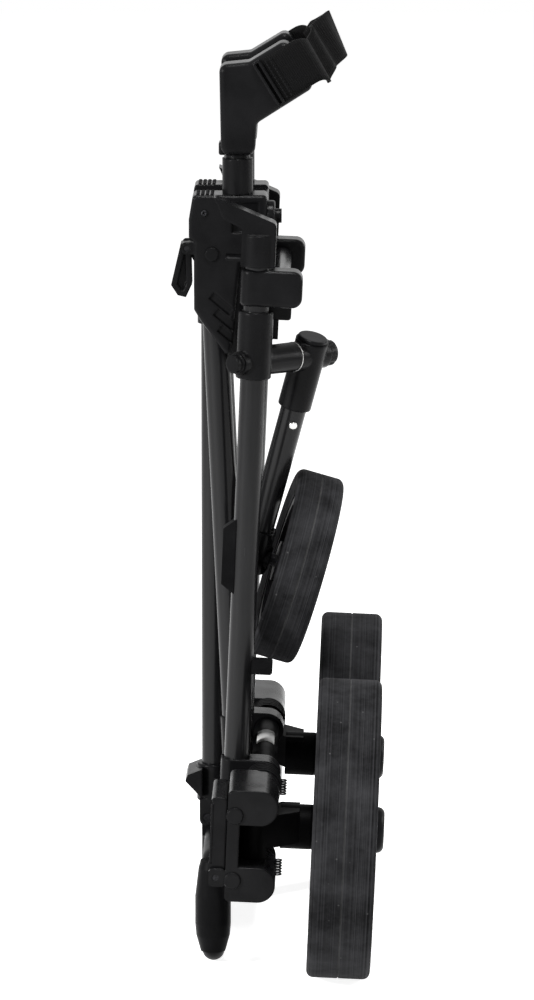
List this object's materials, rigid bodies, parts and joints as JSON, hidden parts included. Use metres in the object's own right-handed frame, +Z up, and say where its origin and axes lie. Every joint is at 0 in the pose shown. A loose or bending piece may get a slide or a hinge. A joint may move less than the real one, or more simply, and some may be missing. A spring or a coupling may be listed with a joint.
{
  "type": "golf push cart",
  "caption": "Folding golf push cart, folded flat: swing-out rear wheels, oblique front leg and wheel, hinged upright with bag arms and strap, and a hinged handle with a grip loop.",
  "frame": {"origin": "centre of the bounding box in plan, on the floor", "axes": "+Z up, +X towards the folded wheels, +Y away from the viewer"},
  "size_m": [0.2106, 0.602, 0.9306],
  "materials": {
    "tube": "satin black",
    "casting": "matte black, moulded",
    "tyre": "foam, matte",
    "steel": "black oxide",
    "bright_steel": "bright",
    "webbing": "woven",
    "grip": "matte",
    "bush": "matte",
    "pad": "matte"
  },
  "bodies": {
    "base": {"base_tubes": "tube", "wheel_clevises": "casting", "beam_brackets": "casting", "swing_pins": "steel", "latch_pins": "steel", "cross_lugs": "casting", "bag_prongs": "casting", "frame_bumpers": "pad", "clevis_screws": "steel", "ribbed_sleeves": "pad", "rear_cross_tube": "tube", "pivot_shaft": "steel", "front_cross_tube": "tube", "cross_clip": "casting", "rest_block": "pad", "leg_collar": "casting", "leg_shaft": "steel"},
    "upright": {"upright_tubes": "tube", "upright_feet": "casting", "hub_housing": "casting", "hinge_pin": "steel", "lever_pin": "steel", "hub_knob": "casting", "bag_necks": "casting", "bag_arms": "casting", "bag_strap": "webbing", "strap_keeper": "casting"},
    "handle": {"handle_knuckle": "casting", "handle_tube": "tube", "handle_yoke": "casting", "console_hood": "casting", "loop_pin": "steel"},
    "handle_loop": {"loop_core": "tube", "side_grips": "grip"},
    "release_lever": {"release_lever": "casting"},
    "front_leg": {"leg_tee": "casting", "tee_cap": "casting", "leg_tube": "tube", "leg_foot": "casting", "front_axle": "steel"},
    "front_wheel": {"front_tyre": "tyre", "front_rim": "casting", "front_bush": "bush", "front_hub_cap": "casting"},
    "snap_button": {"snap_button": "bright_steel"},
    "lock_knob": {"lock_knob": "casting"},
    "rear_arm_near": {"wheel_arm_near": "casting", "rear_axle_near": "steel"},
    "rear_wheel_near": {"rear_tyre_near": "tyre", "rear_rim_near": "casting", "rear_bush_near": "bush", "rear_hub_cap_near": "casting"},
    "latch_near": {"wheel_latch_near": "casting"},
    "rear_arm_far": {"wheel_arm_far": "casting", "rear_axle_far": "steel"},
    "rear_wheel_far": {"rear_tyre_far": "tyre", "rear_rim_far": "casting", "rear_bush_far": "bush", "rear_hub_cap_far": "casting"},
    "latch_far": {"wheel_latch_far": "casting"}
  },
  "joints": [
    {"name": "upright_fold", "type": "hinge", "parent": "base", "child": "upright", "pos_m": [-0.04097, 0, 0.18142], "axis": [0, -1, 0], "range_deg": [0, 82]},
    {"name": "handle_unfold", "type": "hinge", "parent": "upright", "child": "handle", "pos_m": [-0.06531, 0, 0.69745], "axis": [0, 1, 0], "range_deg": [0, 140]},
    {"name": "loop_tilt", "type": "hinge", "parent": "handle", "child": "handle_loop", "pos_m": [-0.07131, 0, 0.12245], "axis": [0, 1, 0], "range_deg": [0, 60]},
    {"name": "lever_turn", "type": "hinge", "parent": "upright", "child": "release_lever", "pos_m": [-0.08981, -0.038, 0.70295], "axis": [0, 1, 0], "range_deg": [0, 25], "stiffness_Nm_per_rad": 0.5},
    {"name": "front_leg_swing", "type": "hinge", "parent": "base", "child": "front_leg", "pos_m": [0.029, -0.05167, 0.59784], "axis": [-0.7065, -0.7071, 0.0299], "range_deg": [0, 200]},
    {"name": "front_wheel_spin", "type": "hinge", "parent": "front_leg", "child": "front_wheel", "pos_m": [0.0159, -0.0049, 0.37741], "axis": [0.9588, 0.0302, -0.2826], "continuous": true},
    {"name": "snap_press", "type": "slide", "parent": "front_leg", "child": "snap_button", "axis": [-0.1864, 0.9486, 0.2558], "range_m": [0, 0.0025], "stiffness_N_per_m": 400},
    {"name": "knob_turn", "type": "hinge", "parent": "base", "child": "lock_knob", "pos_m": [0.04631, -0.03435, 0.59711], "axis": [0.7065, 0.7071, -0.0299], "range_deg": [0, 270]},
    {"name": "rear_swing_near", "type": "hinge", "parent": "base", "child": "rear_arm_near", "pos_m": [-0.02126, -0.2, 0.15056], "axis": [-0.0422, 0, -0.9991], "range_deg": [0, 90]},
    {"name": "rear_spin_near", "type": "hinge", "parent": "rear_arm_near", "child": "rear_wheel_near", "pos_m": [0.06567, -0.155, 0.14689], "axis": [0.9991, 0, -0.0422], "continuous": true},
    {"name": "latch_turn_near", "type": "hinge", "parent": "base", "child": "latch_near", "pos_m": [-0.05758, -0.202, 0.12007], "axis": [0, -1, 0], "range_deg": [0, 10], "stiffness_Nm_per_rad": 0.5},
    {"name": "rear_swing_far", "type": "hinge", "parent": "base", "child": "rear_arm_far", "pos_m": [-0.02126, 0.2, 0.15056], "axis": [0.0422, 0, 0.9991], "range_deg": [0, 90]},
    {"name": "rear_spin_far", "type": "hinge", "parent": "rear_arm_far", "child": "rear_wheel_far", "pos_m": [0.06567, 0.155, 0.14689], "axis": [0.9991, 0, -0.0422], "continuous": true},
    {"name": "latch_turn_far", "type": "hinge", "parent": "base", "child": "latch_far", "pos_m": [-0.05758, 0.202, 0.12007], "axis": [0, -1, 0], "range_deg": [0, 10], "stiffness_Nm_per_rad": 0.5}
  ],
  "couplings": [
    {"joint": "handle_unfold", "follows": "upright_fold", "ratio": 1.7073},
    {"joint": "front_leg_swing", "follows": "upright_fold", "ratio": 2.439}
  ]
}
